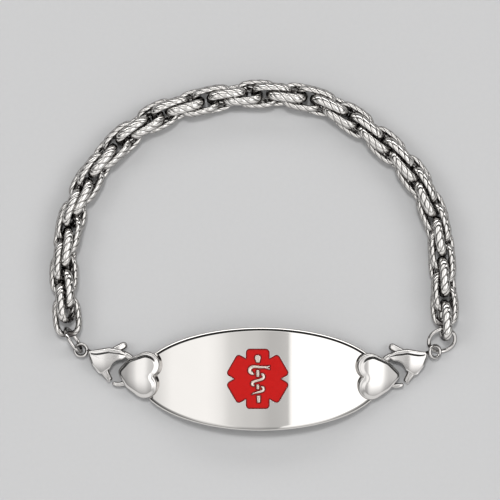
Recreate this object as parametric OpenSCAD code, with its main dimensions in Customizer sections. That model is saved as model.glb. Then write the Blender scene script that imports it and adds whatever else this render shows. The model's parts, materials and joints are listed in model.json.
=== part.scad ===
// Medical alert bracelet lying flat: an arched oval plate with an enamelled
// medical sign, a puffed heart on each of its ends, two lobster clasps, two
// jump rings and a rope chain of twisted oval links. Sizes are in mm, Z is up.

/* [View] */
// which piece is shown

/* [Plate] */
// full length of the oval that the plate is cut from
plate_l = 39.4; // [36:0.1:42]
// width of the plate
plate_w = 16.6; // [15:0.1:18]
// thickness of the plate
plate_t = 1.2; // [1.0:0.05:1.5]
// radius to which the plate is bent to suit the wrist
bend_r = 55; // [52:1:70]
// height of the crown of the plate above the table
crown_z = 5.2; // [5.1:0.05:5.6]

/* [Medical sign] */
// width of each arm of the star
arm_w = 3.75; // [3.4:0.05:4.1]
// length of the star from tip to tip
star_l = 9.6; // [8.6:0.1:10.4]
// depth of the recess that holds the enamel
recess = 0.45; // [0.4:0.05:0.6]
// space kept between the enamel and the metal
enamel_gap = 0.1; // [0.08:0.01:0.14]
// width of the raised snake behind its head
snake_w = 0.46; // [0.36:0.02:0.5]
// width of the raised staff
staff_w = 0.52; // [0.46:0.02:0.6]

/* [Hearts] */
// width of a heart across its lobes
heart_w = 7.6; // [7:0.1:8.2]
// length of a heart from its tip to its lobes
heart_l = 6.4; // [6:0.1:6.8]
// thickness of a heart at the top of its dome
heart_t = 1.7; // [1.4:0.1:2.2]

/* [Clasps] */
// length of a clasp from its eye to the bend of its hook
clasp_l = 10.4; // [10:0.1:10.8]
// thickness of the body of a clasp
clasp_t = 2.6; // [2.4:0.1:2.8]
// diameter of the round bar of the hook
hook_d = 1.06; // [0.96:0.02:1.14]
// radius of the bar of the hook about the middle of its mouth
hook_r = 2.35; // [2.25:0.05:2.45]
// thickness of the lever
lever_t = 0.7; // [0.6:0.05:0.8]
// diameter of the pin that the lever turns on
pin_d = 0.7; // [0.6:0.02:0.8]
// space kept round moving parts
play = 0.1; // [0.08:0.01:0.12]
// outer diameter of the eye
eye_d = 2.5; // [2.4:0.05:2.6]
// diameter of the bar of the eye
eye_bar = 0.55; // [0.5:0.01:0.6]

/* [Jump rings] */
// outer diameter of a jump ring
ring_d = 4.64; // [4.5:0.02:4.8]
// diameter of the wire of a jump ring
ring_wire = 0.58; // [0.5:0.02:0.62]

/* [Chain] */
// how far the chain reaches out beyond the jump rings
chain_reach = 39.28; // [38:0.1:41]
// number of links
links = 48; // [48:1:48]
// length of a link, less its wire, in steps from link to link
link_run = 2.5; // [2.48:0.01:2.52]
// outer width of a link
link_w = 4.5; // [4.3:0.1:4.6]
// thickness of the wire of a link, as a share of the step from link to link
wire_share = 0.408; // [0.35:0.01:0.408]
// width of the wire across the link, as a share of its thickness
link_broad = 1.54; // [1:0.02:1.54]
// turn of each link about the chain, against the link before it
link_turn = 59.36; // [59.2:0.02:59.5]

/* [Hidden] */
$fn = 48;
steel = [0.78, 0.78, 0.79];
red = [0.75, 0.08, 0.08];

// how much larger each kind of piece is than it was drawn
heart_k = heart_l / 6.4;
clasp_k = clasp_l / 10.4;
ring_k = ring_d / 4.64;
sign_k = star_l / 9.6;

// where the pieces lie on the table, each set out from the one before it,
// from the middle of the plate outwards
sign_at = [-0.5, 0.03] * sign_k;
end_cut = plate_l / 2 - 1.8 * heart_k;
heart_tip = [[-plate_l / 2 - 3.02 * heart_k, 1.12 * heart_k], [plate_l / 2 + 2.17 * heart_k, 0.56 * heart_k]];
heart_turn = [-6.8, -2.5];
eye_at = [heart_tip[0] + [-6.18, 3.44] * clasp_k, heart_tip[1] + [6.13, 3.76] * clasp_k];
ring_at = [eye_at[0] + [-1.21, 1.84] * ring_k, eye_at[1] + [1.12, 1.84] * ring_k];
chain_end = [ring_at[0] + [-1.01, 3.6] * ring_k, ring_at[1] + [0.48, 3.2] * ring_k];
clasp_z = clasp_t / 2 + 0.1 * clasp_k;
chain_z = link_w / 2 + 0.05 * ring_k;
heart_z = clasp_z + hook_d / 2 + 0.32 * clasp_k;
strap_t = clasp_z - hook_d / 2 - 0.32 * clasp_k;

// the route of the chain round the wrist, from the left jump ring to the
// right, as shares of its span and of its reach
span = chain_end[1][0] - chain_end[0][0];
bow = chain_reach - (chain_end[0][1] - ring_at[0][1]);
shares = [[-0.008, 0.209], [0.025, 0.5], [0.1014, 0.715], [0.2253, 0.888], [0.394, 0.98], [0.499, 1],
          [0.668, 0.964], [0.809, 0.818], [0.926, 0.612], [0.979, 0.41], [0.995, 0.155]];
route = [chain_end[0], for (k = shares) chain_end[0] + [k[0] * span, k[1] * bow], chain_end[1]];

// home sets the middle of the whole bracelet over the origin
home = [0.0778 * link_w - (chain_end[0][0] + chain_end[1][0]) / 2,
        (plate_w / 2 - chain_end[0][1] - bow - 0.4875 * link_w) / 2, 0];

// The plate, with its recess, its raised sign and the two hearts.

// a tube wall lying across the plate, between two depths under the top face
module layer(deep, high) {
    translate([0, 0, crown_z - bend_r]) rotate([90, 0, 0])
        difference() {
            cylinder(h = 4 * plate_w, r = bend_r + high, center = true, $fn = 360);
            cylinder(h = 4.1 * plate_w, r = bend_r - deep, center = true, $fn = 360);
        }
}

function oval(l, w, n) = [for (k = [0:n - 1]) [l / 2 * cos(360 * k / n), w / 2 * sin(360 * k / n)]];

module star(shrink) {
    for (a = [0:60:120])
        rotate(a) square([arm_w - 2 * shrink, star_l - 2 * shrink], center = true);
}

// the snake winds down the staff in four half rings that grow smaller, joined
// by bars across the staff; each turn gives its side, radius and reach
turns = [[-1, 0.62, 0.74], [1, 0.56, 0.42], [-1, 0.42, 0.5], [1, 0.5, 0.3]];
function bar_y(k) = k == 0 ? 2.07 * sign_k : bar_y(k - 1) - 2 * turns[k - 1][1] * sign_k;
function bar_w(k) = snake_w * (1 - 0.08 * k);
function bar_x(k) = turns[k][0] * turns[k][2] * sign_k;
module snake() {
    for (k = [0:3]) {
        r = turns[k][1] * sign_k;
        translate([bar_x(k), bar_y(k) - r]) intersection() {
            difference() {
                circle(r = r + bar_w(k) / 2);
                circle(r = r - bar_w(k) / 2);
            }
            translate([turns[k][0] * star_l / 2, 0]) square([star_l, star_l], center = true);
        }
        from = k == 0 ? 1.15 * sign_k : bar_x(k - 1);
        translate([(from + bar_x(k)) / 2, bar_y(k)])
            square([abs(from - bar_x(k)) + 0.05 * snake_w, bar_w(k)], center = true);
    }
    // the tail
    translate([bar_x(3), bar_y(4)]) rotate(190) translate([0, -bar_w(4) / 2])
        square([1.2 * sign_k, bar_w(4) * 0.8]);
    // the open mouth
    translate([1.1 * sign_k, bar_y(0)])
        polygon([[-0.1, -0.22], [0.12, -0.3], [0.7, -0.32], [0.35, -0.03], [0.72, 0.24], [0.1, 0.3],
                 [-0.1, 0.22]] * sign_k);
}

module staff() {
    translate([0, -0.5 * sign_k]) square([staff_w, 6.6 * sign_k], center = true);
    translate([0, 3.25 * sign_k]) circle(r = staff_w, $fn = 24);
}

module plate_blank() {
    intersection() {
        layer(plate_t, 0);
        translate([0, 0, -crown_z]) linear_extrude(height = 3 * crown_z)
            intersection() {
                polygon(oval(plate_l, plate_w, 120));
                square([2 * end_cut, 2 * plate_w], center = true);
            }
    }
}

module on_sign(deep, high) {
    intersection() {
        layer(deep, high);
        translate([sign_at[0], sign_at[1], 0]) linear_extrude(height = 2 * crown_z) children();
    }
}

// a heart with its tip at the origin, pointing to minus X
module heart_shape() {
    lobe = heart_w * 0.276;
    for (s = [-1, 1])
        hull() {
            translate([heart_l - lobe, s * (heart_w / 2 - lobe)]) circle(r = lobe);
            translate([2.6 * heart_k, s * 0.9 * heart_k]) circle(r = 1.7 * heart_k);
            translate([1.05 * heart_k, 0]) circle(r = 1.05 * heart_k);
        }
}

// the heart, the strap under the hook and the walls that join them
module heart() {
    dome = 9 * heart_k;
    wall_z = heart_z + 0.3 * heart_t;
    intersection() {
        translate([0, 0, heart_z]) linear_extrude(height = 1.1 * heart_t) heart_shape();
        translate([heart_l * 0.55, 0, heart_z + heart_t - dome]) sphere(r = dome, $fn = 120);
    }
    translate([0.25 * heart_k, -1.2 * heart_k, 0]) cube([6.4 * heart_k, 2.4 * heart_k, strap_t]);
    translate([0.25 * heart_k, -0.55 * heart_k, 0]) cube([0.8 * heart_k, 1.1 * heart_k, wall_z]);
    translate([4.75 * heart_k, -1.2 * heart_k, 0]) cube([1.0 * heart_k, 2.4 * heart_k, wall_z]);
}

module place_heart(i) {
    translate([heart_tip[i][0], heart_tip[i][1], 0]) mirror([i, 0, 0]) rotate(heart_turn[i]) heart();
}

// the bar that holds the staff and snake down in the recess
module root(more) {
    translate([0, -0.4 * sign_k]) square([0.3 * sign_k + 2 * more, 5.2 * sign_k + 2 * more], center = true);
}

module id_plate() color(steel) translate(home) {
    difference() {
        plate_blank();
        on_sign(recess, 1) star(0);
    }
    on_sign(enamel_gap, enamel_gap / 2) { snake(); staff(); }
    on_sign(recess + enamel_gap, -enamel_gap / 2) root(0);
    place_heart(0);
    place_heart(1);
}

module enamel() color(red) translate(home) {
    difference() {
        on_sign(recess - enamel_gap, -2 * enamel_gap) star(enamel_gap);
        on_sign(recess, enamel_gap) root(enamel_gap);
    }
}

// The clasps. Each is drawn with its eye at the origin and its hook towards
// plus X. The right one is the mirror image of the left one.

mouth_at = [6.26, -2.88] * clasp_k;
pivot_at = [3.84, -1.28] * clasp_k;
slot_t = lever_t + 2 * play;

module body_shape() {
    // each round of the outline: its middle and its radius
    rounds = [[1.6, -0.5, 0.45], [2.72, -1.92, 0.96], [3.28, -3.12, 0.67], [6.08, -0.48, 0.72]] * clasp_k;
    difference() {
        hull()
            for (q = rounds) translate([q[0], q[1]]) circle(r = q[2]);
        translate(mouth_at) circle(r = hook_r - hook_d * 0.48, $fn = 72);
    }
}

// the body, rounded off by two lens faces
module body_block() {
    lens = 5.4 * clasp_k;
    intersection() {
        translate([0, 0, -clasp_t / 2]) linear_extrude(height = clasp_t) body_shape();
        translate([3.7 * clasp_k, -1.4 * clasp_k, clasp_t / 2 - lens]) sphere(r = lens, $fn = 96);
        translate([3.7 * clasp_k, -1.4 * clasp_k, lens - clasp_t / 2]) sphere(r = lens, $fn = 96);
    }
}

module hook() {
    tip_turn = -116;
    root_turn = 98;
    translate(mouth_at) {
        rotate(tip_turn) rotate_extrude(angle = root_turn - tip_turn, $fn = 72)
            translate([hook_r, 0]) circle(r = hook_d / 2, $fn = 24);
        rotate(tip_turn) translate([hook_r, 0, 0]) sphere(r = hook_d / 2, $fn = 24);
    }
}

// tilt turns the eye about the way across the clasp, so that a flat ring can pass it
eye_r = (eye_d - eye_bar) / 2;
module eye(tilt) {
    rotate([0, tilt, 0]) rotate_extrude($fn = 60) translate([eye_r, 0]) circle(r = eye_bar / 2, $fn = 20);
}

module clasp(tilt, lift) {
    difference() {
        union() {
            body_block();
            hook();
        }
        // the slot that the lever swings in, and its way out past the root of the hook
        translate([2.4 * clasp_k, -6 * clasp_k, -slot_t / 2]) cube([3.3 * clasp_k, 7.2 * clasp_k, slot_t]);
        translate([2.4 * clasp_k, 0.03 * clasp_k, -slot_t / 2]) cube([5.2 * clasp_k, 2 * clasp_k, slot_t]);
    }
    pin_l = clasp_t * 0.8;
    translate([pivot_at[0], pivot_at[1], -pin_l / 2]) cylinder(h = pin_l, d = pin_d);
    translate([0, 0, lift]) eye(tilt);
    // the neck between the eye and the body
    neck_from = [eye_r * cos(tilt), 0, lift - eye_r * sin(tilt)];
    neck_to = [1.75, -0.55, 0] * clasp_k;
    neck_way = neck_to - neck_from;
    translate(neck_from) rotate([0, acos(neck_way[2] / norm(neck_way)), atan2(neck_way[1], neck_way[0])])
        cylinder(h = norm(neck_way), r = 0.4 * clasp_k, $fn = 24);
}

// the lever closes the mouth with its gate, and has a nub for the thumb
module lever_cut() {
    translate([0, 0, -lever_t / 2]) linear_extrude(height = lever_t) children();
}
module lever() {
    gate = [[3.2, -1.5], [3.25, -3.55], [4.59, -4.98], [5.02, -4.62], [4.2, -3.5], [4.5, -1.5]] * clasp_k;
    nub = [[3.4, -0.8], [4.96, 0.3], [6.82, 1.46], [7.25, 1.04], [7, 0.16], [5.6, 0.16], [4.5, -1.2]] * clasp_k;
    difference() {
        union() {
            lever_cut() translate(pivot_at) circle(r = 0.72 * clasp_k);
            lever_cut() polygon(gate);
            lever_cut() polygon(nub);
        }
        translate([pivot_at[0], pivot_at[1], -lever_t]) cylinder(h = 2 * lever_t, d = pin_d + 2 * play);
    }
}

module place_clasp(i) {
    translate([eye_at[i][0], eye_at[i][1], clasp_z]) mirror([i, 0, 0]) children();
}

module left_clasp() color(steel) translate(home) place_clasp(0) clasp(0, 0);
module right_clasp() color(steel) translate(home) place_clasp(1) clasp(-30, 0.35 * clasp_k);
module left_lever() color(steel) translate(home) place_clasp(0) lever();
module right_lever() color(steel) translate(home) place_clasp(1) lever();

// The jump rings. The left one stands on edge, the right one lies aslant.

module jump_ring() {
    rotate_extrude($fn = 72) translate([(ring_d - ring_wire) / 2, 0]) circle(r = ring_wire / 2, $fn = 24);
}

module left_jump_ring() color(steel) translate(home)
    translate([ring_at[0][0], ring_at[0][1], ring_d / 2 + 0.02 * ring_k]) rotate(-57.2) rotate([90, 0, 0])
        jump_ring();

module right_jump_ring() color(steel) translate(home)
    translate([ring_at[1][0], ring_at[1][1], 1.95 * ring_k]) rotate(-126) rotate([30, 4, 0]) jump_ring();

// The chain. Every link passes through the two links before it, and is turned
// about the run of the chain against the one before.

function chord(k) = norm(route[k + 1] - route[k]);
function way(k) = (route[k + 1] - route[k]) / chord(k);
last = len(route) - 1;
function slope(k) =
    k == 0 ? way(0) :
    k == last ? way(last - 1) :
    (way(k - 1) * chord(k) + way(k) * chord(k - 1)) / (chord(k - 1) + chord(k));
function curve(k, t) = let (h = chord(k))
    (2 * pow(t, 3) - 3 * pow(t, 2) + 1) * route[k]
    + (pow(t, 3) - 2 * pow(t, 2) + t) * h * slope(k)
    + (3 * pow(t, 2) - 2 * pow(t, 3)) * route[k + 1]
    + (pow(t, 3) - pow(t, 2)) * h * slope(k + 1);
fine = 20;
trace = [for (k = [0:last - 1]) for (j = [0:fine - 1]) curve(k, j / fine), route[last]];
function run_up(k, total = 0, made = []) =
    k == len(trace) ? made :
    let (now = k == 0 ? 0 : total + norm(trace[k] - trace[k - 1]))
    run_up(k + 1, now, concat(made, [now]));
mileage = run_up(0);
trace_x = [for (k = [0:len(trace) - 1]) [mileage[k], trace[k][0]]];
trace_y = [for (k = [0:len(trace) - 1]) [mileage[k], trace[k][1]]];
whole = mileage[len(mileage) - 1];
function spot(s) = [lookup(s, trace_x), lookup(s, trace_y)];
pitch = whole / (links - 1);
look = pitch * 0.35;
function heading(s) = let (m = min(max(s, look), whole - look), d = spot(m + look) - spot(m - look)) d / norm(d);
link_wire = wire_share * pitch;
link_l = link_run * pitch + link_wire;

bends = 16;
sides = 6;
function loop_pt(k) =
    let (a = 360 * (k + 0.5) / bends, p = 2 / 3.2)
    [(link_l - link_wire) / 2 * sign(cos(a)) * pow(abs(cos(a)), p),
     (link_w - link_wire) / 2 * sign(sin(a)) * pow(abs(sin(a)), p)];
module link() {
    pts = [for (k = [0:bends - 1])
        let (c = loop_pt(k), d = loop_pt(k + 1) - loop_pt(k - 1), m = [d[1], -d[0]] / norm(d))
        for (j = [0:sides - 1])
            let (f = 360 * j / sides + 30, r = link_wire / 2, broad = link_broad - 0.69 * (link_broad - 1) * m[0] * m[0])
            [c[0] + m[0] * r * cos(f), c[1] + m[1] * r * cos(f), broad * r * sin(f)]];
    function id(k, j) = (k % bends) * sides + j % sides;
    polyhedron(pts, [for (k = [0:bends - 1]) for (j = [0:sides - 1]) for (h = [0, 1])
        h == 0 ? [id(k, j), id(k, j + 1), id(k + 1, j)] : [id(k, j + 1), id(k + 1, j + 1), id(k + 1, j)]]);
}

module chain() color(steel) translate(home) {
    for (i = [0:links - 1]) {
        s = pitch * i;
        at = spot(s);
        go = heading(s);
        translate([at[0], at[1], chain_z]) rotate(atan2(go[1], go[0])) rotate([i * link_turn, 0, 0]) link();
    }
}

id_plate();
enamel();
left_clasp();
right_clasp();
left_lever();
right_lever();
left_jump_ring();
right_jump_ring();
chain();
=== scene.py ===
import json
import math

import bmesh
import bpy
import numpy as np
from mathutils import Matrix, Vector
from mathutils.kdtree import KDTree

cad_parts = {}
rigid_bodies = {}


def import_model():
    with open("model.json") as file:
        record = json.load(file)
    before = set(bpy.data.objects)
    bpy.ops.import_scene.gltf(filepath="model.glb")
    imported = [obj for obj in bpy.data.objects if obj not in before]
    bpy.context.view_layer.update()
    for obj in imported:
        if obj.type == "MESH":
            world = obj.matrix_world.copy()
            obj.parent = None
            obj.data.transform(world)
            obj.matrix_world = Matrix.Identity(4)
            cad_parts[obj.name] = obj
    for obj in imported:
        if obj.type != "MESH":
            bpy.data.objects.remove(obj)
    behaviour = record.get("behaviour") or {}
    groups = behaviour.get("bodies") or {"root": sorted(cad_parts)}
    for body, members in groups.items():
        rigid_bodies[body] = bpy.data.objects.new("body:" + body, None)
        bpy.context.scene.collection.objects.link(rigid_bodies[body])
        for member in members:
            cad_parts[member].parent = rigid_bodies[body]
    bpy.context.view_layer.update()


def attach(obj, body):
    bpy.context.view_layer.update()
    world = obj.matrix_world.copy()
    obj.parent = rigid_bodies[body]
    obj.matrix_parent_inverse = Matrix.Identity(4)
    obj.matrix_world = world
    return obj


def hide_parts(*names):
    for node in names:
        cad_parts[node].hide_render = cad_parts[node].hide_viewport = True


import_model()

# The plate. An oval of cast stainless steel, bent to the wrist about its short
# way and mirror polished, with a softly rolled edge and a six-armed recess in
# its face.
MM = 0.001
PLATE_LONG, PLATE_WIDE, PLATE_THICK = 39.4, 16.6, 1.2
BEND_RADIUS, CROWN = 55.0, 5.2
PLATE_AT = np.array([1.110, -19.787])
SIGN_AT = PLATE_AT + [-0.5, 0.03]
END_CUT, FLOOR_DEEP = 17.9, 0.45
ARM_WIDE, STAR_LONG, ARM_CORNER = 3.75, 9.6, 0.58
AROUND, FACE_STEPS, UNDER_STEPS = 360, 26, 24
# the rolled edge from the face to the underside: how far in from the outline, and how far under the face
ROLL = ((0.66, 0.0), (0.62, 0.004), (0.57, 0.014), (0.48, 0.037), (0.38, 0.066), (0.28, 0.099), (0.2, 0.133),
        (0.13, 0.166), (0.08, 0.197), (0.04, 0.24), (0.01, 0.32), (0.0, 0.5), (0.0, 0.75), (0.06, 1.0),
        (0.16, 1.13), (0.32, 1.19), (0.5, PLATE_THICK))


def bend(x):
    """Height of the bent face of the plate at x, in mm, before anything is taken off it."""
    return CROWN - BEND_RADIUS + np.sqrt(BEND_RADIUS**2 - (x - PLATE_AT[0]) ** 2)


def loft(name, rings, loop=False):
    """One closed skin through rings of points in mm. All rings hold the same number of points."""
    rings = [np.asarray(r, float) for r in rings]
    n, count = len(rings[0]), len(rings)
    verts = [tuple(p) for r in rings for p in r * MM]
    faces = []
    for k in range(count if loop else count - 1):
        a, b = k * n, (k + 1) % count * n
        for i in range(n):
            j = (i + 1) % n
            faces.append((a + i, a + j, b + j, b + i))
    if not loop:
        for ring, start, turn in ((rings[0], 0, -1), (rings[-1], (count - 1) * n, 1)):
            hub = len(verts)
            verts.append(tuple(ring.mean(0) * MM))
            for i in range(n):
                j = (i + 1) % n
                faces.append((start + i, start + j, hub)[::turn])
    mesh = bpy.data.meshes.new(name)
    mesh.from_pydata(verts, [], faces)
    mesh.validate()
    tidy = bmesh.new()
    tidy.from_mesh(mesh)
    bmesh.ops.recalc_face_normals(tidy, faces=tidy.faces)
    tidy.to_mesh(mesh)
    tidy.free()
    mesh.polygons.foreach_set("use_smooth", [True] * len(mesh.polygons))
    piece = bpy.data.objects.new(name, mesh)
    bpy.context.scene.collection.objects.link(piece)
    return piece


def even(outline, n):
    """The same closed outline with n points, evenly spaced."""
    closed = np.vstack([outline, outline[:1]])
    run = np.r_[0, np.cumsum(np.linalg.norm(np.diff(closed, axis=0), axis=1))]
    at = np.linspace(0, run[-1], n, endpoint=False)
    return np.stack([np.interp(at, run, closed[:, k]) for k in (0, 1)], 1)


def outward(outline):
    """Unit normals of a closed outline that runs anticlockwise."""
    way = np.roll(outline, -1, 0) - np.roll(outline, 1, 0)
    way /= np.linalg.norm(way, axis=1)[:, None]
    return np.stack([way[:, 1], -way[:, 0]], 1)


def soften(outline, times):
    """Rounds the corners of a closed outline a little."""
    for _ in range(times):
        outline = outline * 0.5 + (np.roll(outline, 1, 0) + np.roll(outline, -1, 0)) * 0.25
    return outline


def star_outline(n):
    """Three crossed bars make the six-armed star. The ends of its arms have round corners, and its
    notches are sharp."""
    points = []
    for k in range(6):
        turn = math.radians(60 * k)
        c, s = math.cos(turn), math.sin(turn)
        side, end = ARM_WIDE / 2 - ARM_CORNER, STAR_LONG / 2 - ARM_CORNER
        arm = [(ARM_WIDE / 2, ARM_WIDE / 2 * math.sqrt(3))]
        for middle, start in ((side, 0), (-side, 90)):
            for a in range(start, start + 91, 10):
                a = math.radians(a)
                arm.append((middle + ARM_CORNER * math.cos(a), end + ARM_CORNER * math.sin(a)))
        points += [(c * x - s * y, s * x + c * y) for x, y in arm]
    return soften(even(np.array(points), n), 5)


def by_angle(outline, middle, n):
    """The outline seen from its middle, with n points at even angles."""
    rel = outline - middle
    angle = np.unwrap(np.arctan2(rel[:, 1], rel[:, 0]))
    order = np.argsort(angle % (2 * np.pi))
    a = (angle % (2 * np.pi))[order]
    r = np.linalg.norm(rel, axis=1)[order]
    want = np.arange(n) * 2 * np.pi / n
    reach = np.interp(want, np.r_[a[-1] - 2 * np.pi, a, a[0] + 2 * np.pi], np.r_[r[-1], r, r[0]])
    return middle + np.stack([np.cos(want), np.sin(want)], 1) * reach[:, None]


def lifted(points, z):
    """Flat points at the height z, or each at its own."""
    return np.column_stack([points, np.broadcast_to(z, len(points))])


def under_face(points, deep):
    """Flat points, set so deep under the bent face of the plate."""
    return lifted(points, bend(points[:, 0]) - deep)


angle = np.linspace(0, 2 * np.pi, 2400, endpoint=False)
oval = np.stack([PLATE_LONG / 2 * np.cos(angle), PLATE_WIDE / 2 * np.sin(angle)], 1)
# the ends are cut off straight, under the hearts
oval[:, 0] = np.clip(oval[:, 0], -END_CUT, END_CUT)
oval = by_angle(oval + PLATE_AT, SIGN_AT, AROUND)
edge_normal = outward(oval)
star = by_angle(star_outline(1440) + SIGN_AT, SIGN_AT, AROUND)
star_normal = outward(star)

# one skin from the middle of the recess up its wall, over the face and round the edge to the underside
rings = [under_face(SIGN_AT + (star - SIGN_AT) * scale, FLOOR_DEEP) for scale in (0.25, 0.6, 0.99)]
for grow, deep in ((0.0, 0.4), (0.0, 0.1), (0.015, 0.045), (0.05, 0.012), (0.1, 0.0)):
    lip = star + star_normal * grow
    rings.append(under_face(lip, deep))
face_start = len(rings)
inner = oval - edge_normal * ROLL[0][0]
rings += [under_face(lip + (inner - lip) * (k / FACE_STEPS) ** 1.15, 0) for k in range(1, FACE_STEPS)]
face_end = len(rings)
rings += [under_face(oval - edge_normal * inset, drop) for inset, drop in ROLL]
under = rings[-1][:, :2]
rings += [under_face(under + (PLATE_AT - under) * k / UNDER_STEPS, PLATE_THICK)
          for k in range(1, UNDER_STEPS)]
plate = loft("plate", rings)
# the face is one true bend, so its shading follows the bend and not the mesh
normals = np.zeros(3 * len(plate.data.vertices))
plate.data.vertices.foreach_get("normal", normals)
normals = normals.reshape(-1, 3)
for k in range(face_start - 1, face_end + 1):
    lean = (rings[k][:, 0] - PLATE_AT[0]) / BEND_RADIUS
    normals[k * AROUND:(k + 1) * AROUND] = np.column_stack([lean, 0 * lean, np.sqrt(1 - lean**2)])
plate.data.normals_split_custom_set_from_vertices([tuple(v) for v in normals])


def new_group(name, inputs, outputs):
    """A node group. inputs are (label, lowest, highest, value) and outputs are (label, kind)."""
    group = bpy.data.node_groups.new(name, "ShaderNodeTree")
    for label, low, high, value in inputs:
        socket = group.interface.new_socket(name=label, in_out="INPUT", socket_type="NodeSocketFloat")
        socket.min_value, socket.max_value, socket.default_value = low, high, value
    for label, kind in outputs:
        group.interface.new_socket(name=label, in_out="OUTPUT", socket_type=kind)
    return group, group.nodes.new("NodeGroupInput"), group.nodes.new("NodeGroupOutput")


def add(tree, kind, **values):
    """A node with its settings; a key that names an input sets that input."""
    node = tree.nodes.new(kind)
    for key, value in values.items():
        if hasattr(node, key) and key not in node.inputs:
            setattr(node, key, value)
        else:
            node.inputs[key].default_value = value
    return node


# Mirror polish: faint rubbing marks and a slow waviness, as a buffing wheel leaves.
polish, polish_in, polish_out = new_group(
    "mirror_polish",
    [("Rubbing", 0, 1, 0.3), ("Gloss", 0, 1, 0.08), ("Waviness", 0, 1, 0.1)],
    [("Tint", "NodeSocketFloat"), ("Roughness", "NodeSocketFloat"), ("Normal", "NodeSocketVector")])
place = add(polish, "ShaderNodeTexCoord")
marks = add(polish, "ShaderNodeTexNoise", Scale=900.0, Detail=4.0, Roughness=0.6)
cloud = add(polish, "ShaderNodeTexNoise", Scale=160.0, Detail=2.0)
polish.links.new(place.outputs["Object"], marks.inputs["Vector"])
polish.links.new(place.outputs["Object"], cloud.inputs["Vector"])
rub = add(polish, "ShaderNodeMath", operation="MULTIPLY")
polish.links.new(marks.outputs["Fac"], rub.inputs[0])
polish.links.new(polish_in.outputs["Rubbing"], rub.inputs[1])
rough = add(polish, "ShaderNodeMath", operation="MULTIPLY_ADD")
rough.inputs[1].default_value = 0.16
polish.links.new(rub.outputs[0], rough.inputs[0])
polish.links.new(polish_in.outputs["Gloss"], rough.inputs[2])
polish.links.new(rough.outputs[0], polish_out.inputs["Roughness"])
tint = add(polish, "ShaderNodeMapRange")
tint.inputs["To Min"].default_value, tint.inputs["To Max"].default_value = 0.96, 1.02
polish.links.new(cloud.outputs["Fac"], tint.inputs["Value"])
polish.links.new(tint.outputs["Result"], polish_out.inputs["Tint"])
wave = add(polish, "ShaderNodeBump", Distance=0.00002)
polish.links.new(polish_in.outputs["Waviness"], wave.inputs["Strength"])
polish.links.new(cloud.outputs["Fac"], wave.inputs["Height"])
polish.links.new(wave.outputs["Normal"], polish_out.inputs["Normal"])


def steel(name, colour, rubbing, gloss, waviness, dark=None, flank_shade=0.0):
    """Polished stainless steel. dark names a mesh attribute that holds how much painted shade a point gets.
    The last argument is how dark the steep flanks are painted: painted shade, for the dim room that the
    flanks would mirror; the top and the underside stay bright."""
    metal = bpy.data.materials.new(name)
    metal.use_nodes = True
    tree = metal.node_tree
    shader = tree.nodes["Principled BSDF"]
    shader.inputs["Metallic"].default_value = 1.0
    finish = tree.nodes.new("ShaderNodeGroup")
    finish.node_tree = polish
    for key, value in (("Rubbing", rubbing), ("Gloss", gloss), ("Waviness", waviness)):
        finish.inputs[key].default_value = value
    shade = add(tree, "ShaderNodeMix", data_type="RGBA", blend_type="MULTIPLY")
    shade.inputs["Factor"].default_value = 1.0
    shade.inputs["A"].default_value = (*colour, 1)
    tree.links.new(finish.outputs["Tint"], shade.inputs["B"])
    result = shade.outputs["Result"]
    # painted shade: where the attribute is high, the colour goes towards near black
    if dark:
        groove = add(tree, "ShaderNodeAttribute", attribute_name=dark)
        groove_shade_mix = add(tree, "ShaderNodeMix", data_type="RGBA")
        groove_shade_mix.inputs["B"].default_value = (0.12, 0.11, 0.105, 1)
        tree.links.new(groove.outputs["Fac"], groove_shade_mix.inputs["Factor"])
        tree.links.new(result, groove_shade_mix.inputs["A"])
        result = groove_shade_mix.outputs["Result"]
    # painted shade on the steep flanks: the steel is darkened where it turns away from overhead, for the dim
    # room it would mirror
    if flank_shade:
        place = add(tree, "ShaderNodeTexCoord")
        split = add(tree, "ShaderNodeSeparateXYZ")
        level = add(tree, "ShaderNodeMath", operation="ABSOLUTE")
        steep = add(tree, "ShaderNodeMapRange", interpolation_type="SMOOTHSTEP")
        for key, number in (("From Min", 0.4), ("From Max", 0.84), ("To Min", flank_shade), ("To Max", 0.0)):
            steep.inputs[key].default_value = number
        tree.links.new(place.outputs["Normal"], split.inputs[0])
        tree.links.new(split.outputs["Z"], level.inputs[0])
        tree.links.new(level.outputs[0], steep.inputs["Value"])
        shade_flanks = add(tree, "ShaderNodeMix", data_type="RGBA")
        shade_flanks.inputs["B"].default_value = (0.05, 0.046, 0.044, 1)
        tree.links.new(steep.outputs["Result"], shade_flanks.inputs["Factor"])
        tree.links.new(result, shade_flanks.inputs["A"])
        result = shade_flanks.outputs["Result"]
    tree.links.new(result, shader.inputs["Base Color"])
    tree.links.new(finish.outputs["Roughness"], shader.inputs["Roughness"])
    tree.links.new(finish.outputs["Normal"], shader.inputs["Normal"])
    return metal


def fit(piece, metal, body="bracelet", stands_for=()):
    """Gives a piece its material and what it moves with, and hides the solid it stands for."""
    piece.data.materials.append(metal)
    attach(piece, body)
    if stands_for:
        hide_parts(*stands_for)
    return piece


plate_steel = steel("mirror_steel", (0.625, 0.607, 0.585), 0.25, 0.03, 0.05)
fit(plate, plate_steel, stands_for=["id_plate"])

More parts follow.
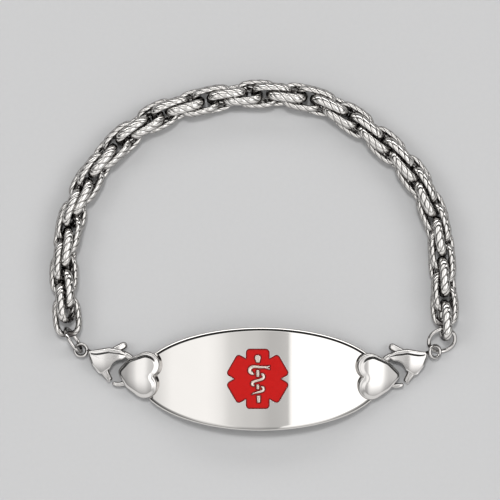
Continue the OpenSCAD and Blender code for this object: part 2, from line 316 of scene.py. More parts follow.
# The enamel. Red glass enamel is laid in the recess and stoned level, a little
# under the face of the plate; it climbs the walls of the recess by a hair.
ENAMEL_DEEP, ENAMEL_FLOOR, ENAMEL_STEPS = 0.165, 0.38, 56
rings = [under_face(SIGN_AT + (star - SIGN_AT) * scale, ENAMEL_FLOOR) for scale in (0.3, 0.7, 0.985)]
for inset, deep in ((0.02, 0.34), (0.015, 0.12), (0.03, 0.09), (0.08, 0.125), (0.16, 0.15),
                    (0.3, ENAMEL_DEEP)):
    rings.append(under_face(star - star_normal * inset, deep))
level = rings[-1][:, :2]
rings += [under_face(level + (SIGN_AT - level) * k / ENAMEL_STEPS, ENAMEL_DEEP)
          for k in range(1, ENAMEL_STEPS)]
enamel = loft("red_enamel", rings)
glass = bpy.data.materials.new("red_enamel")
glass.use_nodes = True
tree = glass.node_tree
shader = tree.nodes["Principled BSDF"]
shader.inputs["Coat Weight"].default_value = 0.08
shader.inputs["Specular IOR Level"].default_value = 0.12
shader.inputs["Coat Roughness"].default_value = 0.04
place = add(tree, "ShaderNodeTexCoord")
grain = add(tree, "ShaderNodeTexNoise", Scale=1400.0, Detail=3.0)
tree.links.new(place.outputs["Object"], grain.inputs["Vector"])
red = add(tree, "ShaderNodeValToRGB")
red.color_ramp.elements[0].color = (0.38, 0.004, 0.003, 1)
red.color_ramp.elements[1].color = (0.45, 0.006, 0.005, 1)
tree.links.new(grain.outputs["Fac"], red.inputs["Fac"])
# painted shade: the enamel is darkened against the metal and the walls of the recess
enamel_edge_shade = add(tree, "ShaderNodeAttribute", attribute_name="shade")
enamel_shade_mix = add(tree, "ShaderNodeMix", data_type="RGBA")
enamel_shade_mix.inputs["B"].default_value = (0.05, 0.002, 0.002, 1)
tree.links.new(enamel_edge_shade.outputs["Fac"], enamel_shade_mix.inputs["Factor"])
tree.links.new(red.outputs["Color"], enamel_shade_mix.inputs["A"])
tree.links.new(enamel_shade_mix.outputs["Result"], shader.inputs["Base Color"])
sheen = add(tree, "ShaderNodeMapRange")
sheen.inputs["To Min"].default_value, sheen.inputs["To Max"].default_value = 0.25, 0.4
tree.links.new(grain.outputs["Fac"], sheen.inputs["Value"])
tree.links.new(sheen.outputs["Result"], shader.inputs["Roughness"])
pits = add(tree, "ShaderNodeBump", Distance=0.00001, Strength=0.3)
tree.links.new(grain.outputs["Fac"], pits.inputs["Height"])
tree.links.new(pits.outputs["Normal"], shader.inputs["Normal"])
fit(enamel, glass, stands_for=["enamel"])

# The staff and snake. They stand up from the floor of the recess, are cast in
# one with the plate, and are polished where they come through the enamel.
STRIP_HALF, STRIP_DEEP, DIVE_DEEP, DIVE_LONG = 0.16, 0.17, 0.14, 0.16
# the edge of a boss on the floor of the recess: how far in from its outline, and how high over the face
BOSS = [(0.0, -0.4), (0.0, -0.17), (0.04, -0.09), (0.1, -0.05), (0.14, -0.04)]
HEAD_AT = SIGN_AT + [1.38, 1.86]
HEAD = HEAD_AT + np.array([[-0.25, -0.17], [0.05, -0.26], [0.35, -0.34], [0.6, -0.36], [0.6, -0.25],
                           [0.34, -0.08], [0.34, 0.0], [0.56, 0.1], [0.64, 0.22], [0.4, 0.27], [0.05, 0.2],
                           [-0.25, 0.17]])


def sweep(name, path, across, up, section=20, loop=False):
    """A bar along a path. across and up are its half widths at each point, level with the path and
    over it."""
    path = np.asarray(path, float)
    n = len(path)
    if loop:
        way = np.roll(path, -1, 0) - np.roll(path, 1, 0)
    else:
        way = np.gradient(path, axis=0)
    way /= np.linalg.norm(way, axis=1)[:, None]
    side = np.cross(way, [0, 0, 1.0])
    short = np.linalg.norm(side, axis=1)
    if short.min() < 1e-3:
        side = np.cross(way, [0.3, 1.0, 0.1])
        short = np.linalg.norm(side, axis=1)
    side /= short[:, None]
    top = np.cross(side, way)
    across, up = np.broadcast_to(across, n), np.broadcast_to(up, n)
    turn = np.arange(section) * 2 * np.pi / section
    rings = []
    for k in range(n):
        rings.append(path[k] + np.outer(np.cos(turn) * across[k], side[k])
                     + np.outer(np.sin(turn) * up[k], top[k]))
    return loft(name, rings, loop=loop)


def relief(name, points, wide):
    """A strip that stands up out of the enamel and dives into it at its two ends. points are from the
    middle of the sign; wide is the width of the strip at a few even places along it."""
    points = np.array(points) + SIGN_AT
    run = np.r_[0, np.cumsum(np.linalg.norm(np.diff(points, axis=0), axis=1))]
    at = np.linspace(0, run[-1], 90)
    line = np.stack([np.interp(at, run, points[:, k]) for k in (0, 1)], 1)
    for _ in range(24):
        line[1:-1] = line[1:-1] * 0.5 + (line[:-2] + line[2:]) * 0.25
    half = np.interp(at, np.linspace(0, run[-1], len(wide)), wide) * 0.45
    dive = np.maximum(np.exp(-((at / DIVE_LONG) ** 2)), np.exp(-(((run[-1] - at) / DIVE_LONG) ** 2)))
    half = half * (1 - 0.35 * dive)
    return sweep(name, under_face(line, STRIP_DEEP + DIVE_DEEP * dive), half, STRIP_HALF)


def pillow(name, outline, layers, top=None, middle=None, fill=10, tilt=(0.0, 0.0), tilt_by=0.5, back=0.0,
           slim=1.0, bend_it=False):
    """A closed piece from its outline. layers are (inset, height) from the underside, round the edge, to
    where the top starts. With top, a height in brackets is a drop under top(points), and the top goes on
    to the middle by it. tilt moves the top sideways, between the edge and the inset tilt_by, for a bevel
    that is wider on one side, and back is the share of it that is taken back after that. slim makes the
    edge smaller at each point of the outline."""
    outline = np.asarray(outline, float)
    normal = outward(outline)
    slim = np.broadcast_to(slim, len(outline))
    last = layers[-1][0]
    middle = outline.mean(0) if middle is None else np.asarray(middle, float)
    rings = []
    low = outline - normal * layers[0][0]
    for k in range(fill, 0, -1):
        rings.append(lifted(low + (middle - low) * k / (fill + 1), layers[0][1]))
    base = max(z for _, z in layers if not isinstance(z, tuple))
    for inset, z in layers:
        if not isinstance(z, tuple):
            rings.append(lifted(outline - normal * inset, z))
            continue
        lean = np.clip((inset - 0.04) / (tilt_by - 0.04), 0, 1)
        lean -= back * np.clip((inset - tilt_by) / (last - tilt_by), 0, 1)
        ring = outline - normal * (inset * slim)[:, None] + np.outer(lean * slim, tilt)
        rings.append(lifted(ring, np.maximum(top(ring) - z[0] * slim, base + 0.04 * inset)))
    high = rings[-1][:, :2]
    for k in range(1, fill + 5):
        ring = high + (middle - high) * k / (fill + 5)
        rings.append(lifted(ring, top(ring) if top else layers[-1][1]))
    if bend_it:
        for ring in rings:
            ring[:, 2] += bend(ring[:, 0])
    return loft(name, rings)


# the relief's warm pink tone is the steel's own colour with a painted reflection of the red enamel
sign_steel = steel("relief_steel_red_reflection", (0.72, 0.63, 0.56), 0.8, 0.1, 0.4)
# the snake comes over the staff three times, and goes behind it between
for name, points, wide in (
        ("snake_neck", [(1.5, 1.86), (1.15, 1.88), (0.6, 1.85), (0, 1.92), (-0.5, 1.97), (-0.9, 1.9),
                        (-1.22, 1.68), (-1.36, 1.38), (-1.25, 1.1), (-1.0, 0.93), (-0.62, 0.74)],
         (0.4, 0.4, 0.46, 0.5, 0.62, 0.66, 0.5)),
        ("snake_back", [(0.55, 0.8), (0.82, 0.68), (1.02, 0.42), (0.95, 0.14), (0.68, -0.06), (0.32, -0.18),
                        (-0.25, -0.32), (-0.66, -0.45), (-0.93, -0.67), (-0.88, -0.93), (-0.55, -1.12)],
         (0.45, 0.56, 0.5, 0.44, 0.46, 0.56, 0.45)),
        ("snake_tail", [(0.55, -1.22), (0.82, -1.34), (1.0, -1.6), (0.85, -1.9), (0.32, -2.09), (-0.25, -2.2),
                        (-0.71, -2.35), (-0.95, -2.5)],
         (0.4, 0.5, 0.46, 0.4, 0.3, 0.16))):
    fit(relief(name, points, wide), sign_steel)
head = pillow("snake_head", soften(even(HEAD, 80), 4), BOSS, bend_it=True, middle=HEAD_AT, fill=3)
fit(head, sign_steel)
# the staff shows as a knob and three short lengths between the turns of the snake
for name, corners in (
        ("staff_knob", [(-0.22, 2.6), (0.34, 2.6), (0.4, 2.95), (0.52, 3.3), (0.5, 3.62), (0.2, 3.82),
                        (-0.16, 3.82), (-0.46, 3.6), (-0.5, 3.3), (-0.36, 2.95)]),
        ("staff_upper", [(-0.24, 0.3), (0.28, 0.3), (0.31, 1.42), (-0.27, 1.42)]),
        ("staff_middle", [(-0.23, -1.68), (0.28, -1.68), (0.28, -0.9), (-0.25, -0.9)]),
        ("staff_foot", [(-0.12, -3.82), (0.44, -3.82), (0.48, -2.68), (-0.18, -2.68)])):
    outline = soften(even(np.array(corners) + SIGN_AT, 72), 3)
    fit(pillow(name, outline, BOSS, bend_it=True, fill=3), sign_steel)
# painted shade on the enamel: darkest against the metal and the walls of the recess, fading out from there
SHADE_WIDE = 0.19
edges = [(*p, 0) for p in star * MM]
for piece in bpy.data.objects:
    if piece.name.startswith(("snake", "staff")):
        edges += [(v.co.x, v.co.y, 0) for v in piece.data.vertices]
nearest = KDTree(len(edges))
for k, point in enumerate(edges):
    nearest.insert(point, k)
nearest.balance()
clear = np.array([nearest.find((v.co.x, v.co.y, 0))[2] for v in enamel.data.vertices]) / MM
shade = enamel.data.attributes.new("shade", "FLOAT", "POINT")
shade.data.foreach_set("value", 0.95 * np.clip(1.2 - clear / SHADE_WIDE, 0, 1))

# The hearts. Puffed hearts are stamped from the same steel, with a bevel all
# round and a domed face, and are soldered over the ends of the plate. Under
# each, a strap and two short walls hold the hook of its clasp.
HEART_LONG, HEART_WIDE, HEART_LOW = 6.4, 7.6, 1.95
LOBE = HEART_WIDE * 0.276
HEART_MIDDLE = np.array([3.6, 0.0])
# the left and the right heart: the place of its tip, its turn in degrees, and 1 or -1 for the mirror image
HEART_AT = ((PLATE_AT + [-22.72, 1.12], -6.8, 1), (PLATE_AT + [21.87, 0.56], -2.5, -1))
# from the underside up the edge, and over the rim and the crease behind it to the dome
HEART_EDGE = [(0.2, HEART_LOW), (0.06, HEART_LOW + 0.03), (0.0, HEART_LOW + 0.06), (0.0, HEART_LOW + 0.12),
              (0.0, (0.54,)), (0.0, (0.45,)), (0.02, (0.395,)), (0.06, (0.31,)), (0.12, (0.212,)),
              (0.18, (0.158,)), (0.24, (0.135,)), (0.3, (0.128,)), (0.38, (0.124,)), (0.42, (0.12,)),
              (0.46, (0.112,)), (0.54, (0.091,)), (0.62, (0.07,)), (0.7, (0.049,)), (0.78, (0.028,)),
              (0.85, (0.011,)), (0.91, (0.002,)), (0.97, (0.0,))]
# what is under each heart: from where to where along it, half width, and from what height to what height
HOLDS = (("strap", (0.27, 6.6, 1.18, 0.02, 0.55)), ("tip_wall", (0.27, 1.03, 0.53, 0.4, 2.6)),
         ("end_wall", (4.77, 5.73, 1.18, 0.4, 2.7)))


def round_set(rounds, n=90):
    """Points on a set of rounds, each (x, y, radius)."""
    a = np.linspace(0, 2 * np.pi, n, endpoint=False)
    return np.concatenate([np.stack([x + r * np.cos(a), y + r * np.sin(a)], 1) for x, y, r in rounds])


def wrap(points):
    """The tight outline round a set of points, anticlockwise."""
    points = sorted(map(tuple, points))
    halves = []
    for row in (points, points[::-1]):
        half = []
        for p in row:
            while len(half) > 1 and ((half[-1][0] - half[-2][0]) * (p[1] - half[-2][1])
                                     - (half[-1][1] - half[-2][1]) * (p[0] - half[-2][0])) <= 0:
                half.pop()
            half.append(p)
        halves += half[:-1]
    return np.array(halves)


def joined(outlines, middle, n):
    """The outer outline of several that all hold the middle, or touch it."""
    want = np.arange(n) * 2 * np.pi / n
    far = np.zeros(n)
    for outline in outlines:
        p, q = outline, np.roll(outline, -1, 0)
        for i, a in enumerate(want):
            d = np.array([math.cos(a), math.sin(a)])
            e = q - p
            rel = p - middle
            det = e[:, 0] * d[1] - e[:, 1] * d[0]
            det[abs(det) < 1e-12] = 1e-12
            reach = (e[:, 0] * rel[:, 1] - e[:, 1] * rel[:, 0]) / det
            along = (d[0] * rel[:, 1] - d[1] * rel[:, 0]) / det
            hit = reach[(along >= -1e-9) & (along <= 1 + 1e-9) & (reach > 0)]
            if len(hit):
                far[i] = max(far[i], hit.max())
    return middle + np.stack([np.cos(want), np.sin(want)], 1) * far[:, None]


def heart_outline(tip):
    """Two lobes and a rounded tip, which reaches out by tip further than the strap under it."""
    halves = [wrap(round_set([(HEART_LONG - LOBE, s * (HEART_WIDE / 2 - LOBE), LOBE), (2.5, s * 0.95, 1.8),
                              (1.05 - tip, 0, 1.05)])) for s in (1, -1)]
    return soften(joined(halves, HEART_MIDDLE, 240), 2)


def heart_dome(p):
    """The face of a heart: a low dome that leans down towards the tip, as the plate does at its end."""
    x, y = p[:, 0] - 5.3, p[:, 1] - 1.2
    return 3.94 - np.where(x > -4.1, x**2, 16.81 - 8.2 * (x + 4.1)) / 19.5 - y**2 / np.where(y > 0, 40, 22)


heart_steel = steel("heart_steel", (0.63, 0.612, 0.595), 0.3, 0.1, 0.2, flank_shade=0.3)


def turned(piece, at, angle, side, z=0.0):
    """Sets a piece drawn in its own place down on the bracelet; side -1 makes it the mirror image."""
    c, s = math.cos(math.radians(angle)), math.sin(math.radians(angle))
    for v in piece.data.vertices:
        x, y = v.co.x, v.co.y
        v.co = Vector((side * (c * x - s * y) + at[0] * MM, s * x + c * y + at[1] * MM, v.co.z + z * MM))
    if side < 0:
        piece.data.flip_normals()
    piece.data.update()
    return piece


def block(x0, x1, y, z0, z1):
    """A small bar with its corners taken off: its outline and its edge."""
    box = np.array([[x0, -y], [x1, -y], [x1, y], [x0, y]])
    return soften(even(box, 72), 2), [(0.08, z0), (0.0, z0 + 0.08), (0.0, z1 - 0.08), (0.08, z1)]


for (at, angle, side), hand, tip, aside in zip(HEART_AT, ("left", "right"), (0.15, 0.42), (-0.05, -0.25)):
    outline = heart_outline(tip)
    face = pillow(hand + "_heart", outline, HEART_EDGE, heart_dome, middle=HEART_MIDDLE, fill=20,
                  tilt=(aside, -0.22), slim=np.interp(outline[:, 0], [1.0, 4.6], [0.55, 1.0]))
    fit(turned(face, at, angle, side), heart_steel, stands_for=["id_plate"])
    for name, sizes in HOLDS:
        outline, edge = block(*sizes)
        fit(turned(pillow(f"{hand}_{name}", outline, edge), at, angle, side), heart_steel)

# The lobster clasps. Each body is cast steel in two swelling cheeks with a slot
# between them, and runs on into a round hook and, by a short neck, into an eye.
CLASP_AT = ((HEART_AT[0][0] + [-6.18, 3.44], 0, 1), (HEART_AT[1][0] + [6.13, 3.76], 0, -1))
CLASP_MID, SLOT = 1.4, 0.9
CHEEK_MIDDLE = np.array([3.3, -1.45])
# from the slot up the edge, and over the rim and the crease behind it to the dome
CHEEK_EDGE = [(0.06, SLOT / 2), (0.0, SLOT / 2 + 0.02), (0.0, (0.36,)), (0.04, (0.31,)), (0.1, (0.232,)),
              (0.16, (0.168,)), (0.2, (0.153,)), (0.26, (0.148,)), (0.31, (0.145,)), (0.35, (0.14,)),
              (0.4, (0.13,)), (0.48, (0.106,)), (0.56, (0.082,)), (0.64, (0.057,)), (0.71, (0.035,)),
              (0.77, (0.017,)), (0.83, (0.004,)), (0.9, (0.0,))]
MOUTH_AT, HOOK_RADIUS, HOOK_WIDE, HOOK_STEPS = np.array([6.26, -2.88]), 2.35, 1.06, 120
BITE_AT, BITE_RADIUS = MOUTH_AT + [0.18, -0.3], 1.68
EYE_RADIUS, EYE_BAR, EYE_STEPS, NECK_STEPS = 0.96, 0.56, 72, 10
PEG = [(0.0, -0.5), (0.0, 0.5)]
clasp_steel = steel("clasp_steel", (0.63, 0.612, 0.595), 0.3, 0.1, 0.3, flank_shade=0.75)
# painted shade: the neck is coloured near black, for the shade between the eye and the jump ring
neck_shade_steel = steel("neck_shade_steel", (0.07, 0.066, 0.063), 0.9, 0.2, 0.5, flank_shade=0.8)
cheek = even(wrap(round_set([(1.6, -0.5, 0.45), (2.62, -1.86, 1.0), (3.28, -3.12, 0.67), (4.5, -0.3, 0.74),
                             (6.08, -0.46, 0.62), (7.3, -0.78, 0.2)])), 720)
# the mouth is a round bite out of the cheek
from_bite = cheek - BITE_AT
far = np.linalg.norm(from_bite, axis=1)[:, None]
cheek = np.where(far < BITE_RADIUS, BITE_AT + from_bite / far * BITE_RADIUS, cheek)
cheek = soften(even(cheek, 160), 3)
# its bevel is narrow where the cheek has little room across, and on every side but the upper one
rel = cheek[:, None] - cheek[None]
toward = np.einsum("ijk,ik->ij", rel, outward(cheek))
room = np.where(toward > 1e-4, (rel**2).sum(2) / (2 * np.maximum(toward, 1e-4)), 9).min(1)
cheek_slim = np.clip(room / 0.95, 0.15, 1) * np.interp(outward(cheek)[:, 1], [0.1, 0.7], [0.4, 1.0])
for _ in range(40):
    cheek_slim = cheek_slim * 0.5 + (np.roll(cheek_slim, 1) + np.roll(cheek_slim, -1)) * 0.25


def cheek_dome(p):
    """The face of a cheek: a low dome."""
    return 1.42 - (p[:, 0] - 4.9) ** 2 / 24 - (p[:, 1] - 0.1) ** 2 / 17.5


core = soften(even(wrap(round_set([(1.6, -0.5, 0.4), (1.95, -1.2, 0.4)])), 60), 2)
root = soften(even(wrap(round_set([(6.2, -0.55, 0.42), (6.5, -0.6, 0.45)])), 60), 2)


def hook_line(first, last, n):
    """The middle line of the hook, an arc that opens out a little towards the tip."""
    a = np.linspace(first, last, n)
    radius = HOOK_RADIUS + 0.3 * np.clip((-10 - a) / 90, 0, 1) ** 1.5
    a = np.radians(a)
    return lifted(MOUTH_AT + radius[:, None] * np.stack([np.cos(a), np.sin(a)], 1), 0)


HOOK_HALF = HOOK_WIDE / 2 * np.interp(np.linspace(0, 1, HOOK_STEPS), [0, 0.3, 0.7, 0.95, 0.985, 1.0],
                                      [0.95, 1.0, 0.95, 0.72, 0.58, 0.3])
for (at, angle, side), hand in zip(CLASP_AT, ("left", "right")):
    node = hand + "_clasp"
    parts = []
    for facing, which in ((1, "upper"), (-1, "lower")):
        half = pillow(f"{hand}_cheek_{which}", cheek, CHEEK_EDGE, cheek_dome, middle=CHEEK_MIDDLE, fill=16,
                      tilt=(-0.03, -0.22), tilt_by=0.32, back=0.1 if side > 0 else 0.4, slim=cheek_slim)
        if facing < 0:
            for v in half.data.vertices:
                v.co.z = -v.co.z
            half.data.flip_normals()
        parts.append(half)
    parts.append(pillow(hand + "_clasp_core", core, PEG))
    parts.append(pillow(hand + "_hook_root", root, PEG))
    parts.append(sweep(hand + "_hook", hook_line(112, -117, HOOK_STEPS), HOOK_HALF, HOOK_HALF, section=28))
    # the left eye lies flat, and the right one is tilted and stands a little higher
    tilt, lift = (0.0, 0.0) if side > 0 else (math.radians(-30), 0.35)
    eye = []
    for a in np.linspace(0, 2 * np.pi, EYE_STEPS, endpoint=False):
        x, y = EYE_RADIUS * math.cos(a), EYE_RADIUS * math.sin(a)
        eye.append((x * math.cos(tilt), y, lift - x * math.sin(tilt)))
    parts.append(sweep(hand + "_eye", eye, EYE_BAR / 2, EYE_BAR / 2, loop=True))
    neck = np.linspace(eye[0], (2.0, -0.6, 0.0), NECK_STEPS)
    collar = sweep(hand + "_neck", neck, np.linspace(0.3, 0.42, NECK_STEPS),
                   np.linspace(0.3, 0.5, NECK_STEPS))
    fit(turned(collar, at, angle, side, CLASP_MID), neck_shade_steel, stands_for=[node])
    for piece in parts:
        fit(turned(piece, at, angle, side, CLASP_MID), clasp_steel, stands_for=[node])

# The levers. Each is a flat bent lever on a pin between the cheeks. Its gate
# closes the mouth against the tip of the hook, and its nub is for the thumb.
GATE = np.array([[3.25, -1.5], [3.05, -3.6], [4.38, -5.2], [5.12, -4.64], [4.5, -3.4], [4.5, -1.5]])
NUB = wrap(round_set([(6.86, 0.76, 0.58), (4.9, -0.3, 0.55), (3.9, -1.1, 0.5)]))
LEVER_HALF = 0.34
LEVER_EDGE = [(0.1, -LEVER_HALF), (0.02, -LEVER_HALF + 0.06), (0.0, -0.14), (0.0, (0.3,)), (0.03, (0.21,)),
              (0.08, (0.14,)), (0.15, (0.08,)), (0.23, (0.03,)), (0.31, (0.0,))]
for (at, angle, side), hand in zip(CLASP_AT, ("left", "right")):
    for name, shape in (("gate", GATE), ("nub", NUB)):
        outline = soften(even(shape, 120), 4)
        hub = outline.mean(0)

        def thumb_dome(p):
            """The face of a lever: a low dome that rises a little outwards."""
            return LEVER_HALF + 0.06 - 0.1 * ((p - hub) ** 2).sum(1) / 1.5 + 0.06 * (p[:, 1] - hub[1])

        piece = pillow(f"{hand}_{name}", outline, LEVER_EDGE, thumb_dome)
        fit(turned(piece, at, angle, side, CLASP_MID), clasp_steel, body=hand + "_gate",
            stands_for=[hand + "_lever"])

# The jump rings. Each is one turn of round wire, cut and pressed shut. The
# left one stands on its edge and the right one lies aslant.
RING_RADIUS, RING_WIRE, RING_STEPS, WIRE_STEPS = 2.17, 0.62, 120, 20
# where each ring is, and how it is turned: about which axis, by how many degrees
RINGS = (("left", (*(CLASP_AT[0][0] + [-1.21, 1.64]), 2.47), ((0, 78), (2, 122.8))),
         ("right", (*(CLASP_AT[1][0] + [1.12, 1.84]), 1.65), ((0, 36), (2, 20))))
ring_steel = steel("ring_steel", (0.68, 0.66, 0.64), 0.4, 0.06, 0.4, flank_shade=0.8)


def spin(points, axis, degrees):
    """Turns points about an axis: 0 is x, 1 is y and 2 is z."""
    c, s = math.cos(math.radians(degrees)), math.sin(math.radians(degrees))
    i, j = [(1, 2), (2, 0), (0, 1)][axis]
    out = points.copy()
    out[:, i], out[:, j] = c * points[:, i] - s * points[:, j], s * points[:, i] + c * points[:, j]
    return out


around = np.linspace(0, 2 * np.pi, RING_STEPS, endpoint=False)
circle = np.stack([np.cos(around), np.sin(around), 0 * around], 1)
section = np.arange(WIRE_STEPS) * 2 * np.pi / WIRE_STEPS
for hand, at, turns in RINGS:
    points = np.concatenate([out * RING_RADIUS + RING_WIRE / 2 * (np.outer(np.cos(section), out)
                                                                  + np.outer(np.sin(section), [0, 0, 1]))
                             for out in circle])
    for axis, degrees in turns:
        points = spin(points, axis, degrees)
    rings = (points + np.array(at)).reshape(RING_STEPS, WIRE_STEPS, 3)
    fit(loft(hand + "_ring", rings, loop=True), ring_steel, stands_for=[hand + "_jump_ring"])

# The chain. Each link is an oval of wire that is laid up from three strands and
# rolled a little flat. Every link passes through the two before it and is
# turned over against them, so the chain lies as a rope.
ENDS = np.array([PLATE_AT + [-31.12, 10.0], PLATE_AT + [29.6, 9.36]])
# the knots of its line between the two ends, as shares of the span and of the bow
SHARES = np.array([[-0.008, 0.209], [0.025, 0.5], [0.1014, 0.715], [0.2253, 0.888], [0.394, 0.98], [0.499, 1],
                   [0.668, 0.964], [0.809, 0.818], [0.926, 0.612], [0.979, 0.41], [0.995, 0.155]])
SPAN, BOW = ENDS[1, 0] - ENDS[0, 0], 35.68
LINKS, LINK_WIDE, PITCH, CHAIN_Z = 49, 4.62, 2.3, 2.42
WIRE = 0.408 * PITCH
LINK_LONG = 2.5 * PITCH + WIRE
BENDS, TWISTS = 176, 4
BROAD, BROAD_END, THICK = 1.56, 1.3, 1.04
# every third link: its place along the line, from 0 to 1, and how far it is turned over, in degrees
LAID = ((0.0, 2.6), (0.0624, 180.1), (0.1229, 330.2), (0.1817, 470.5), (0.2445, 634.4), (0.3081, 790.4),
        (0.3719, 951.6), (0.4361, 1104.8), (0.5025, 1255.7), (0.5692, 1415.4), (0.6334, 1573.8),
        (0.695, 1741.3), (0.7556, 1914.2), (0.8154, 2086.8), (0.8751, 2254.4), (0.9351, 2422.2),
        (1.0, 2600.0))
# the line of the chain, drawn smoothly through its knots
knots = np.vstack([ENDS[:1], ENDS[0] + SHARES * [SPAN, BOW], ENDS[1:]])
chord = np.linalg.norm(np.diff(knots, axis=0), axis=1)
way = np.diff(knots, axis=0) / chord[:, None]
slope = np.vstack([way[:1], (way[:-1] * chord[1:, None] + way[1:] * chord[:-1, None])
                   / (chord[:-1] + chord[1:])[:, None], way[-1:]])
trace = []
for k in range(len(chord)):
    for t in np.arange(20) / 20:
        trace.append((2 * t**3 - 3 * t**2 + 1) * knots[k] + (t**3 - 2 * t**2 + t) * chord[k] * slope[k]
                     + (3 * t**2 - 2 * t**3) * knots[k + 1] + (t**3 - t**2) * chord[k] * slope[k + 1])
trace = np.array(trace + [knots[-1]])
mileage = np.r_[0, np.cumsum(np.linalg.norm(np.diff(trace, axis=0), axis=1))]
places, turns = (np.interp(np.arange(LINKS), np.arange(0, LINKS, 3), row) for row in zip(*LAID))


def spot(s):
    """The point that lies s along the line of the chain."""
    return np.array([np.interp(s, mileage, trace[:, 0]), np.interp(s, mileage, trace[:, 1])])


# a link is an oval with rather straight sides
around = np.linspace(0, 2 * np.pi, 4000, endpoint=False)
c, s = np.cos(around), np.sin(around)
link = np.stack([(LINK_LONG - WIRE) / 2 * np.sign(c) * abs(c) ** (2 / 3.2),
                 (LINK_WIDE - WIRE) / 2 * np.sign(s) * abs(s) ** (2 / 3.2)], 1)
link = soften(even(link, BENDS), 8)
link_out = outward(link)
# the skin of one of the three strands, in degrees round the wire, and how far each line of it lies down
# in the groove between two strands
STRAND = ((-60, 1.0), (-56, 0.68), (-46, 0.38), (-28, 0.14), (0, 0.0), (28, 0.14), (46, 0.38), (56, 0.68))
lay = np.array([(a + middle, deep) for middle in (0, 120, 240) for a, deep in STRAND])
skin, down = np.radians(lay[:, 0]), lay[:, 1]
SIDES, LAY_DEEP = len(skin), 0.12
# painted shade in the grooves between the strands: the deeper a line lies, the darker it is painted
groove_shade = np.clip((down - 0.35) / 0.6, 0, 1)

wire_steel = steel("wire_steel", (0.72, 0.70, 0.675), 0.6, 0.10, 0.5, dark="groove", flank_shade=0.45)
near = PITCH * 0.35
for part, (first, last) in {"chain_left": (0, 16), "chain_far": (16, 32), "chain_right": (32, 49)}.items():
    verts, faces, rope_shade = [], [], []
    for i in range(first, last):
        middle = np.array([*spot(mileage[-1] * places[i]), CHAIN_Z])
        m = min(max(mileage[-1] * places[i], near), mileage[-1] - near)
        go = spot(m + near) - spot(m - near)
        go /= np.linalg.norm(go)
        turn = math.radians(turns[i])
        ahead = np.array([*go, 0.0])
        left = np.array([-go[1], go[0], 0.0])
        wide = left * math.cos(turn) + np.array([0, 0, 1.0]) * math.sin(turn)
        flat = np.cross(ahead, wide)
        base = len(verts)
        for k in range(BENDS):
            # the strands run round the wire, and start elsewhere in each link
            angle = skin - 2 * np.pi * TWISTS * k / BENDS + 0.9 * i
            out = link_out[k, 0] * ahead + link_out[k, 1] * wide
            centre = middle + link[k, 0] * ahead + link[k, 1] * wide
            broad = (BROAD - (BROAD - BROAD_END) * link_out[k, 0] ** 2) / 2 - LAY_DEEP * down
            thick = THICK / 2 - LAY_DEEP * down
            ring = centre + np.outer(thick * np.cos(angle), out) + np.outer(broad * np.sin(angle), flat)
            verts += [tuple(p) for p in ring * MM]
            # painted shade: the wire is darkened where the links shade each other, fully within 0.9 mm of the
            # middle of the rope and not beyond 1.5 mm, and in the grooves between strands
            from_middle = ring - middle
            from_middle = np.linalg.norm(from_middle - np.outer(from_middle @ ahead, ahead), axis=1)
            rope_shade += list(np.maximum(groove_shade, np.clip((1.5 - from_middle) / 0.6, 0, 1)))
        for k in range(BENDS):
            for j in range(SIDES):
                p, q = base + k * SIDES, base + (k + 1) % BENDS * SIDES
                faces.append((p + j, p + (j + 1) % SIDES, q + (j + 1) % SIDES, q + j)[::-1])
    mesh = bpy.data.meshes.new(part)
    mesh.from_pydata(verts, [], faces)
    mesh.polygons.foreach_set("use_smooth", [True] * len(mesh.polygons))
    shade_layer = mesh.attributes.new("groove", "FLOAT", "POINT")
    shade_layer.data.foreach_set("value", rope_shade)
    piece = bpy.data.objects.new(part, mesh)
    bpy.context.scene.collection.objects.link(piece)
    fit(piece, wire_steel, stands_for=["chain"])

# The studio: a plain pale table, a bright tent with a softbox on each side and
# one beyond the bracelet, and a camera straight overhead.
table = bpy.data.meshes.new("table")
table.from_pydata([(-3, -3, 0), (3, -3, 0), (3, 3, 0), (-3, 3, 0)], [], [(0, 1, 2, 3)])
table = bpy.data.objects.new("table", table)
bpy.context.scene.collection.objects.link(table)
paper = bpy.data.materials.new("table")
paper.use_nodes = True
tree = paper.node_tree
shader = tree.nodes["Principled BSDF"]
shader.inputs["Roughness"].default_value = 0.7
shader.inputs["Specular IOR Level"].default_value = 0.2
place = add(tree, "ShaderNodeTexCoord")
fibre = add(tree, "ShaderNodeTexNoise", Scale=1500.0, Detail=2.0)
tree.links.new(place.outputs["Object"], fibre.inputs["Vector"])
tone = add(tree, "ShaderNodeValToRGB")
tone.color_ramp.elements[0].color = (0.452, 0.452, 0.455, 1)
tone.color_ramp.elements[1].color = (0.469, 0.469, 0.471, 1)
tree.links.new(fibre.outputs["Fac"], tone.inputs["Fac"])
tree.links.new(tone.outputs["Color"], shader.inputs["Base Color"])
table.data.materials.append(paper)

world = bpy.data.worlds.new("tent")
bpy.context.scene.world = world
world.use_nodes = True
tree = world.node_tree
sky = tree.nodes["Background"]
sky.inputs["Color"].default_value = (1, 1, 1, 1)
place = add(tree, "ShaderNodeTexCoord")
split = add(tree, "ShaderNodeSeparateXYZ")
tree.links.new(place.outputs["Generated"], split.inputs[0])


def sums(kind, one, two):
    """One sum of two values, each of them a number or the output of a node."""
    node = add(tree, "ShaderNodeMath", operation=kind)
    for k, value in enumerate((one, two)):
        if isinstance(value, (int, float)):
            node.inputs[k].default_value = value
        else:
            tree.links.new(value, node.inputs[k])
    return node.outputs[0]


def ramp(value, low, high, start=0.0, end=1.0):
    """start below low, end above high, and smooth between."""
    node = add(tree, "ShaderNodeMapRange", interpolation_type="SMOOTHSTEP")
    tree.links.new(value, node.inputs["Value"])
    for key, number in (("From Min", low), ("From Max", high), ("To Min", start), ("To Max", end)):
        node.inputs[key].default_value = number
    return node.outputs["Result"]


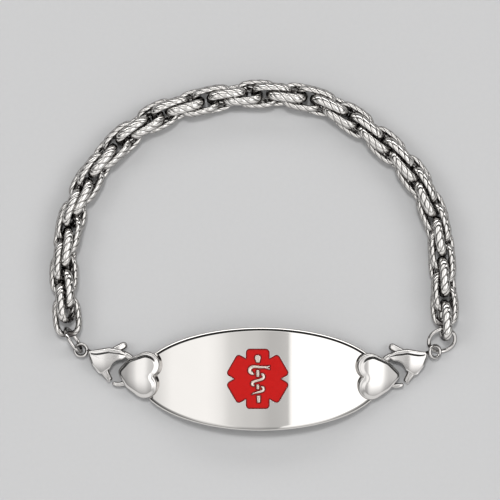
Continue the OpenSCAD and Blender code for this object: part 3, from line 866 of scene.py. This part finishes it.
def blend_to(value, other, share):
    """value where share is 0, and other where it is 1."""
    node = add(tree, "ShaderNodeMix", data_type="FLOAT")
    tree.links.new(share, node.inputs["Factor"])
    tree.links.new(value, node.inputs["A"])
    node.inputs["B"].default_value = other
    return node.outputs["Result"]


upward = sums("MAXIMUM", split.outputs["Z"], 0.02)
right = sums("DIVIDE", split.outputs["X"], upward)
ahead = sums("DIVIDE", split.outputs["Y"], upward)


def tones(value, stops):
    """Brightness along value, from a list of (place, brightness)."""
    low, high = stops[0][0], stops[-1][0]
    share = add(tree, "ShaderNodeMapRange")
    share.inputs["From Min"].default_value, share.inputs["From Max"].default_value = low, high
    tree.links.new(value, share.inputs["Value"])
    node = add(tree, "ShaderNodeValToRGB")
    node.color_ramp.interpolation = "LINEAR"
    while len(node.color_ramp.elements) < len(stops):
        node.color_ramp.elements.new(0.5)
    for stop, (place, tone) in zip(node.color_ramp.elements, stops):
        stop.position, stop.color = (place - low) / (high - low), (tone, tone, tone, 1)
    tree.links.new(share.outputs["Result"], node.inputs["Fac"])
    return node.outputs["Color"]


# the tent from left to right; straight overhead there is a gap in it for the camera, with a lamp at its
# right edge
tent = tones(right, ((-1.9, 0.1), (-1.33, 0.28), (-1.03, 0.62), (-0.86, 1.0), (-0.6, 1.45), (0.0, 1.55),
                     (0.6, 1.9), (1.1, 1.5), (1.5, 0.5), (1.9, 0.2)))
gap = tones(right, ((-1.8, 0.12), (-1.2, 0.5), (-0.78, 0.98), (-0.69, 1.22), (-0.6, 1.46), (-0.34, 1.5),
                    (-0.28, 1.42), (-0.235, 1.3), (-0.185, 1.06), (-0.09, 0.94), (-0.02, 0.91),
                    (0.06, 0.755), (0.11, 0.77), (0.17, 0.84), (0.187, 1.75), (0.3, 2.1), (0.68, 2.0),
                    (0.9, 1.1), (1.8, 0.2)))
beside = sums("MAXIMUM", ramp(ahead, 0.2, 0.4), ramp(sums("MULTIPLY", ahead, -1), 0.8, 1.2))
overhead = add(tree, "ShaderNodeMix", data_type="FLOAT")
for key, value in (("Factor", beside), ("A", gap), ("B", tent)):
    tree.links.new(value, overhead.inputs[key])
light = sums("MULTIPLY", overhead.outputs["Result"], ramp(ahead, -1.15, -0.3, 0.3, 1.0))
# a dark gap, and beyond it the softbox behind the bracelet, which is low down
low_down = sums("ADD", ahead, sums("MULTIPLY", sums("ABSOLUTE", right, 0), 0.2))
light = blend_to(light, 0.04, ramp(low_down, 0.4, 0.55))
light = blend_to(light, 3.0, ramp(ahead, 0.95, 1.15))
light = blend_to(light, 0.12, ramp(ahead, 1.8, 2.4))
light = sums("MULTIPLY", light, ramp(split.outputs["Z"], 0.12, 0.5, 0.06, 1.0))
# a low white card on the near side
light = blend_to(light, 1.0, ramp(sums("MULTIPLY", ahead, -1), 1.0, 1.6))
# the tent lights the table less than it shows in the steel; lamps do the rest
ray = add(tree, "ShaderNodeLightPath")
light = sums("MULTIPLY", light, sums("SUBTRACT", 1.0, sums("MULTIPLY", ray.outputs["Is Diffuse Ray"], 0.3)))
tree.links.new(light, sky.inputs["Strength"])

# one lamp a little behind the bracelet, and a weak one to each side: their shadows are soft and short
for name, power, soft, turns in (("lamp", 1.25, 8, (-14, -2)), ("left_lamp", 0.6, 25, (-8, -45)),
                                 ("right_lamp", 0.6, 25, (-8, 45))):
    lamp = bpy.data.objects.new(name, bpy.data.lights.new(name, "SUN"))
    bpy.context.scene.collection.objects.link(lamp)
    lamp.data.energy, lamp.data.angle = power, math.radians(soft)
    lamp.rotation_euler = (math.radians(turns[0]), math.radians(turns[1]), 0)
    lamp.visible_glossy = False

camera = bpy.data.objects.new("camera", bpy.data.cameras.new("camera"))
bpy.context.scene.collection.objects.link(camera)
HIGH, FRAME_WIDE, SENSOR = 0.9, 0.0805, 36
camera.location = (-0.00062, 0.00087, HIGH)
camera.data.sensor_width = SENSOR
camera.data.lens = SENSOR * HIGH / FRAME_WIDE
camera.data.clip_start, camera.data.clip_end = 0.01, 10
bpy.context.scene.camera = camera
bpy.context.scene.view_settings.view_transform = "Standard"
